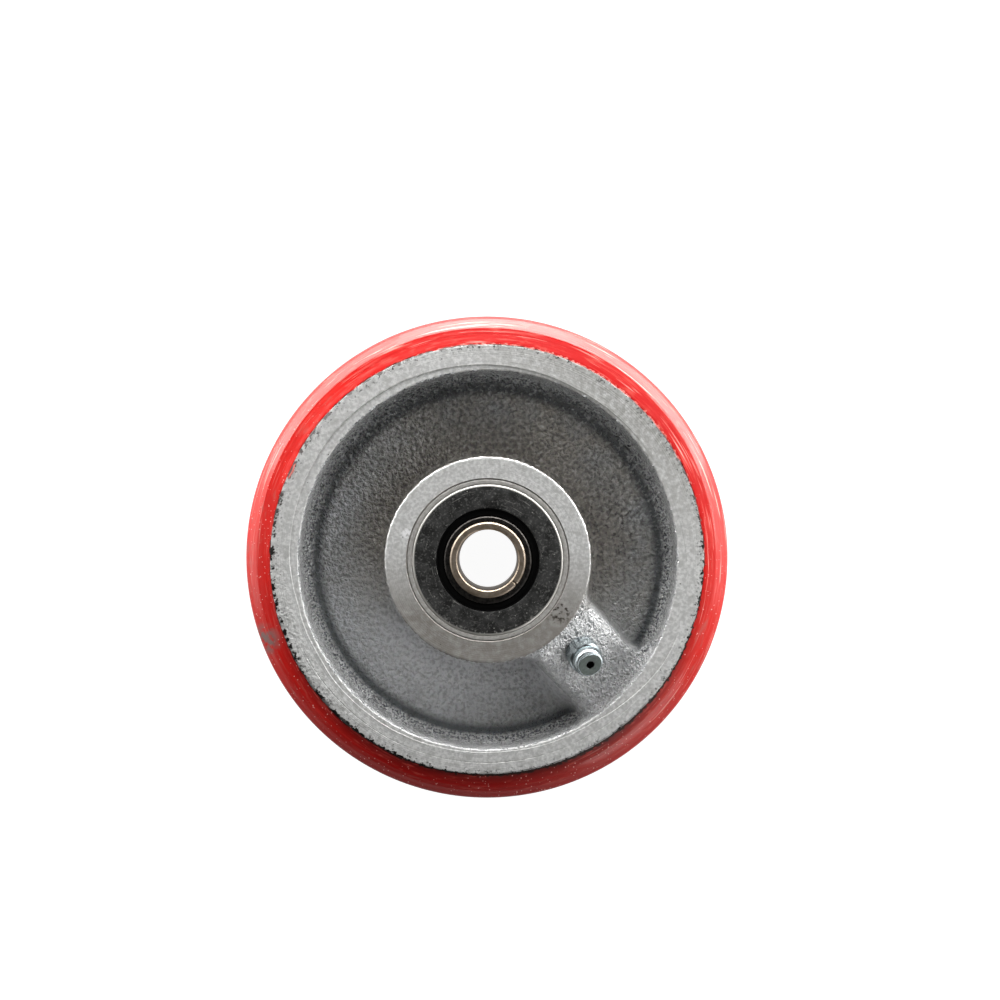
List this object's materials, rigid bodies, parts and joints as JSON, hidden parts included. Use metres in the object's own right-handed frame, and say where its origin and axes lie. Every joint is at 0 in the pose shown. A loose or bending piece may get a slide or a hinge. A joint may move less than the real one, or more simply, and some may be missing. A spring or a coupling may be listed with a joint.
{
  "type": "polyurethane castor wheel",
  "caption": "Industrial castor wheel: red polyurethane tread on a painted iron core, greaseable tapered roller bearings, seals and an axle sleeve.",
  "frame": {"origin": "middle of the axle bore, halfway along the sleeve", "axes": "+Z along the axle towards the face with the grease fitting, +Y to the top of the picture"},
  "size_m": [0.1524, 0.1524, 0.0636],
  "materials": {
    "red_polyurethane": "glossy",
    "silver_painted_iron": "silver paint on rough casting, satin",
    "turned_steel": "satin, browned",
    "seal_steel": "satin",
    "dark_steel": "smooth, dark",
    "blackened_steel": "oily",
    "black_rubber": "matt",
    "spring_steel": "drawn",
    "bearing_steel": "ground",
    "cage_steel": "pressed",
    "zinc_plated_steel": "zinc plated"
  },
  "bodies": {
    "axle_set": {"axle_sleeve": "turned_steel", "front_spacer": "blackened_steel", "front_bearing_cone": "bearing_steel", "rear_spacer": "blackened_steel", "rear_bearing_cone": "bearing_steel"},
    "wheel": {"tread": "red_polyurethane", "wheel_core": "silver_painted_iron", "front_seal_case": "seal_steel", "front_seal_plate": "dark_steel", "front_seal_lip": "black_rubber", "front_seal_spring": "spring_steel", "front_bearing_cup": "bearing_steel", "rear_seal_case": "seal_steel", "rear_seal_plate": "dark_steel", "rear_seal_lip": "black_rubber", "rear_seal_spring": "spring_steel", "rear_bearing_cup": "bearing_steel", "grease_fitting_body": "zinc_plated_steel", "grease_fitting_spring": "spring_steel"},
    "check_ball": {"grease_fitting_ball": "bearing_steel"},
    "front_cage": {"front_roller_cage": "cage_steel"},
    "front_roller_body_1": {"front_roller_1": "bearing_steel"},
    "front_roller_body_2": {"front_roller_2": "bearing_steel"},
    "front_roller_body_3": {"front_roller_3": "bearing_steel"},
    "front_roller_body_4": {"front_roller_4": "bearing_steel"},
    "front_roller_body_5": {"front_roller_5": "bearing_steel"},
    "front_roller_body_6": {"front_roller_6": "bearing_steel"},
    "front_roller_body_7": {"front_roller_7": "bearing_steel"},
    "front_roller_body_8": {"front_roller_8": "bearing_steel"},
    "front_roller_body_9": {"front_roller_9": "bearing_steel"},
    "front_roller_body_10": {"front_roller_10": "bearing_steel"},
    "front_roller_body_11": {"front_roller_11": "bearing_steel"},
    "front_roller_body_12": {"front_roller_12": "bearing_steel"},
    "front_roller_body_13": {"front_roller_13": "bearing_steel"},
    "front_roller_body_14": {"front_roller_14": "bearing_steel"},
    "front_roller_body_15": {"front_roller_15": "bearing_steel"},
    "rear_cage": {"rear_roller_cage": "cage_steel"},
    "rear_roller_body_1": {"rear_roller_1": "bearing_steel"},
    "rear_roller_body_2": {"rear_roller_2": "bearing_steel"},
    "rear_roller_body_3": {"rear_roller_3": "bearing_steel"},
    "rear_roller_body_4": {"rear_roller_4": "bearing_steel"},
    "rear_roller_body_5": {"rear_roller_5": "bearing_steel"},
    "rear_roller_body_6": {"rear_roller_6": "bearing_steel"},
    "rear_roller_body_7": {"rear_roller_7": "bearing_steel"},
    "rear_roller_body_8": {"rear_roller_8": "bearing_steel"},
    "rear_roller_body_9": {"rear_roller_9": "bearing_steel"},
    "rear_roller_body_10": {"rear_roller_10": "bearing_steel"},
    "rear_roller_body_11": {"rear_roller_11": "bearing_steel"},
    "rear_roller_body_12": {"rear_roller_12": "bearing_steel"},
    "rear_roller_body_13": {"rear_roller_13": "bearing_steel"},
    "rear_roller_body_14": {"rear_roller_14": "bearing_steel"},
    "rear_roller_body_15": {"rear_roller_15": "bearing_steel"}
  },
  "joints": [
    {"name": "wheel_spin", "type": "hinge", "parent": "axle_set", "child": "wheel", "pos_m": [0, 0, 0], "axis": [0, 0, 1], "continuous": true},
    {"name": "check_ball_lift", "type": "slide", "parent": "wheel", "child": "check_ball", "axis": [-0.2966, 0.4568, -0.8387], "range_m": [0, 0.0006], "stiffness_N_per_m": 300, "springref_m": -0.001, "deforming": ["grease_fitting_spring"]},
    {"name": "front_cage_spin", "type": "hinge", "parent": "axle_set", "child": "front_cage", "pos_m": [0, 0, 0.01405], "axis": [0, 0, 1], "continuous": true},
    {"name": "front_roller_1_spin", "type": "hinge", "parent": "front_cage", "child": "front_roller_body_1", "pos_m": [0.0189, 0, 0.01405], "axis": [0.2045, 0, 0.9789], "continuous": true},
    {"name": "front_roller_2_spin", "type": "hinge", "parent": "front_cage", "child": "front_roller_body_2", "pos_m": [0.01727, 0.00769, 0.01405], "axis": [0.1868, 0.0832, 0.9789], "continuous": true},
    {"name": "front_roller_3_spin", "type": "hinge", "parent": "front_cage", "child": "front_roller_body_3", "pos_m": [0.01265, 0.01405, 0.01405], "axis": [0.1368, 0.152, 0.9789], "continuous": true},
    {"name": "front_roller_4_spin", "type": "hinge", "parent": "front_cage", "child": "front_roller_body_4", "pos_m": [0.00584, 0.01798, 0.01405], "axis": [0.0632, 0.1945, 0.9789], "continuous": true},
    {"name": "front_roller_5_spin", "type": "hinge", "parent": "front_cage", "child": "front_roller_body_5", "pos_m": [-0.00198, 0.0188, 0.01405], "axis": [-0.0214, 0.2034, 0.9789], "continuous": true},
    {"name": "front_roller_6_spin", "type": "hinge", "parent": "front_cage", "child": "front_roller_body_6", "pos_m": [-0.00945, 0.01637, 0.01405], "axis": [-0.1022, 0.1771, 0.9789], "continuous": true},
    {"name": "front_roller_7_spin", "type": "hinge", "parent": "front_cage", "child": "front_roller_body_7", "pos_m": [-0.01529, 0.01111, 0.01405], "axis": [-0.1654, 0.1202, 0.9789], "continuous": true},
    {"name": "front_roller_8_spin", "type": "hinge", "parent": "front_cage", "child": "front_roller_body_8", "pos_m": [-0.01849, 0.00393, 0.01405], "axis": [-0.2, 0.0425, 0.9789], "continuous": true},
    {"name": "front_roller_9_spin", "type": "hinge", "parent": "front_cage", "child": "front_roller_body_9", "pos_m": [-0.01849, -0.00393, 0.01405], "axis": [-0.2, -0.0425, 0.9789], "continuous": true},
    {"name": "front_roller_10_spin", "type": "hinge", "parent": "front_cage", "child": "front_roller_body_10", "pos_m": [-0.01529, -0.01111, 0.01405], "axis": [-0.1654, -0.1202, 0.9789], "continuous": true},
    {"name": "front_roller_11_spin", "type": "hinge", "parent": "front_cage", "child": "front_roller_body_11", "pos_m": [-0.00945, -0.01637, 0.01405], "axis": [-0.1022, -0.1771, 0.9789], "continuous": true},
    {"name": "front_roller_12_spin", "type": "hinge", "parent": "front_cage", "child": "front_roller_body_12", "pos_m": [-0.00198, -0.0188, 0.01405], "axis": [-0.0214, -0.2034, 0.9789], "continuous": true},
    {"name": "front_roller_13_spin", "type": "hinge", "parent": "front_cage", "child": "front_roller_body_13", "pos_m": [0.00584, -0.01798, 0.01405], "axis": [0.0632, -0.1945, 0.9789], "continuous": true},
    {"name": "front_roller_14_spin", "type": "hinge", "parent": "front_cage", "child": "front_roller_body_14", "pos_m": [0.01265, -0.01405, 0.01405], "axis": [0.1368, -0.152, 0.9789], "continuous": true},
    {"name": "front_roller_15_spin", "type": "hinge", "parent": "front_cage", "child": "front_roller_body_15", "pos_m": [0.01727, -0.00769, 0.01405], "axis": [0.1868, -0.0832, 0.9789], "continuous": true},
    {"name": "rear_cage_spin", "type": "hinge", "parent": "axle_set", "child": "rear_cage", "pos_m": [0, 0, -0.01405], "axis": [0, 0, 1], "continuous": true},
    {"name": "rear_roller_1_spin", "type": "hinge", "parent": "rear_cage", "child": "rear_roller_body_1", "pos_m": [0.0189, 0, -0.01405], "axis": [-0.2045, 0, 0.9789], "continuous": true},
    {"name": "rear_roller_2_spin", "type": "hinge", "parent": "rear_cage", "child": "rear_roller_body_2", "pos_m": [0.01727, -0.00769, -0.01405], "axis": [-0.1868, 0.0832, 0.9789], "continuous": true},
    {"name": "rear_roller_3_spin", "type": "hinge", "parent": "rear_cage", "child": "rear_roller_body_3", "pos_m": [0.01265, -0.01405, -0.01405], "axis": [-0.1368, 0.152, 0.9789], "continuous": true},
    {"name": "rear_roller_4_spin", "type": "hinge", "parent": "rear_cage", "child": "rear_roller_body_4", "pos_m": [0.00584, -0.01798, -0.01405], "axis": [-0.0632, 0.1945, 0.9789], "continuous": true},
    {"name": "rear_roller_5_spin", "type": "hinge", "parent": "rear_cage", "child": "rear_roller_body_5", "pos_m": [-0.00198, -0.0188, -0.01405], "axis": [0.0214, 0.2034, 0.9789], "continuous": true},
    {"name": "rear_roller_6_spin", "type": "hinge", "parent": "rear_cage", "child": "rear_roller_body_6", "pos_m": [-0.00945, -0.01637, -0.01405], "axis": [0.1022, 0.1771, 0.9789], "continuous": true},
    {"name": "rear_roller_7_spin", "type": "hinge", "parent": "rear_cage", "child": "rear_roller_body_7", "pos_m": [-0.01529, -0.01111, -0.01405], "axis": [0.1654, 0.1202, 0.9789], "continuous": true},
    {"name": "rear_roller_8_spin", "type": "hinge", "parent": "rear_cage", "child": "rear_roller_body_8", "pos_m": [-0.01849, -0.00393, -0.01405], "axis": [0.2, 0.0425, 0.9789], "continuous": true},
    {"name": "rear_roller_9_spin", "type": "hinge", "parent": "rear_cage", "child": "rear_roller_body_9", "pos_m": [-0.01849, 0.00393, -0.01405], "axis": [0.2, -0.0425, 0.9789], "continuous": true},
    {"name": "rear_roller_10_spin", "type": "hinge", "parent": "rear_cage", "child": "rear_roller_body_10", "pos_m": [-0.01529, 0.01111, -0.01405], "axis": [0.1654, -0.1202, 0.9789], "continuous": true},
    {"name": "rear_roller_11_spin", "type": "hinge", "parent": "rear_cage", "child": "rear_roller_body_11", "pos_m": [-0.00945, 0.01637, -0.01405], "axis": [0.1022, -0.1771, 0.9789], "continuous": true},
    {"name": "rear_roller_12_spin", "type": "hinge", "parent": "rear_cage", "child": "rear_roller_body_12", "pos_m": [-0.00198, 0.0188, -0.01405], "axis": [0.0214, -0.2034, 0.9789], "continuous": true},
    {"name": "rear_roller_13_spin", "type": "hinge", "parent": "rear_cage", "child": "rear_roller_body_13", "pos_m": [0.00584, 0.01798, -0.01405], "axis": [-0.0632, -0.1945, 0.9789], "continuous": true},
    {"name": "rear_roller_14_spin", "type": "hinge", "parent": "rear_cage", "child": "rear_roller_body_14", "pos_m": [0.01265, 0.01405, -0.01405], "axis": [-0.1368, -0.152, 0.9789], "continuous": true},
    {"name": "rear_roller_15_spin", "type": "hinge", "parent": "rear_cage", "child": "rear_roller_body_15", "pos_m": [0.01727, 0.00769, -0.01405], "axis": [-0.1868, -0.0832, 0.9789], "continuous": true}
  ],
  "couplings": [
    {"joint": "front_cage_spin", "follows": "wheel_spin", "ratio": 0.57898},
    {"joint": "front_roller_1_spin", "follows": "wheel_spin", "ratio": 3.021},
    {"joint": "front_roller_2_spin", "follows": "wheel_spin", "ratio": 3.021},
    {"joint": "front_roller_3_spin", "follows": "wheel_spin", "ratio": 3.021},
    {"joint": "front_roller_4_spin", "follows": "wheel_spin", "ratio": 3.021},
    {"joint": "front_roller_5_spin", "follows": "wheel_spin", "ratio": 3.021},
    {"joint": "front_roller_6_spin", "follows": "wheel_spin", "ratio": 3.021},
    {"joint": "front_roller_7_spin", "follows": "wheel_spin", "ratio": 3.021},
    {"joint": "front_roller_8_spin", "follows": "wheel_spin", "ratio": 3.021},
    {"joint": "front_roller_9_spin", "follows": "wheel_spin", "ratio": 3.021},
    {"joint": "front_roller_10_spin", "follows": "wheel_spin", "ratio": 3.021},
    {"joint": "front_roller_11_spin", "follows": "wheel_spin", "ratio": 3.021},
    {"joint": "front_roller_12_spin", "follows": "wheel_spin", "ratio": 3.021},
    {"joint": "front_roller_13_spin", "follows": "wheel_spin", "ratio": 3.021},
    {"joint": "front_roller_14_spin", "follows": "wheel_spin", "ratio": 3.021},
    {"joint": "front_roller_15_spin", "follows": "wheel_spin", "ratio": 3.021},
    {"joint": "rear_cage_spin", "follows": "wheel_spin", "ratio": 0.57898},
    {"joint": "rear_roller_1_spin", "follows": "wheel_spin", "ratio": 3.021},
    {"joint": "rear_roller_2_spin", "follows": "wheel_spin", "ratio": 3.021},
    {"joint": "rear_roller_3_spin", "follows": "wheel_spin", "ratio": 3.021},
    {"joint": "rear_roller_4_spin", "follows": "wheel_spin", "ratio": 3.021},
    {"joint": "rear_roller_5_spin", "follows": "wheel_spin", "ratio": 3.021},
    {"joint": "rear_roller_6_spin", "follows": "wheel_spin", "ratio": 3.021},
    {"joint": "rear_roller_7_spin", "follows": "wheel_spin", "ratio": 3.021},
    {"joint": "rear_roller_8_spin", "follows": "wheel_spin", "ratio": 3.021},
    {"joint": "rear_roller_9_spin", "follows": "wheel_spin", "ratio": 3.021},
    {"joint": "rear_roller_10_spin", "follows": "wheel_spin", "ratio": 3.021},
    {"joint": "rear_roller_11_spin", "follows": "wheel_spin", "ratio": 3.021},
    {"joint": "rear_roller_12_spin", "follows": "wheel_spin", "ratio": 3.021},
    {"joint": "rear_roller_13_spin", "follows": "wheel_spin", "ratio": 3.021},
    {"joint": "rear_roller_14_spin", "follows": "wheel_spin", "ratio": 3.021},
    {"joint": "rear_roller_15_spin", "follows": "wheel_spin", "ratio": 3.021}
  ]
}
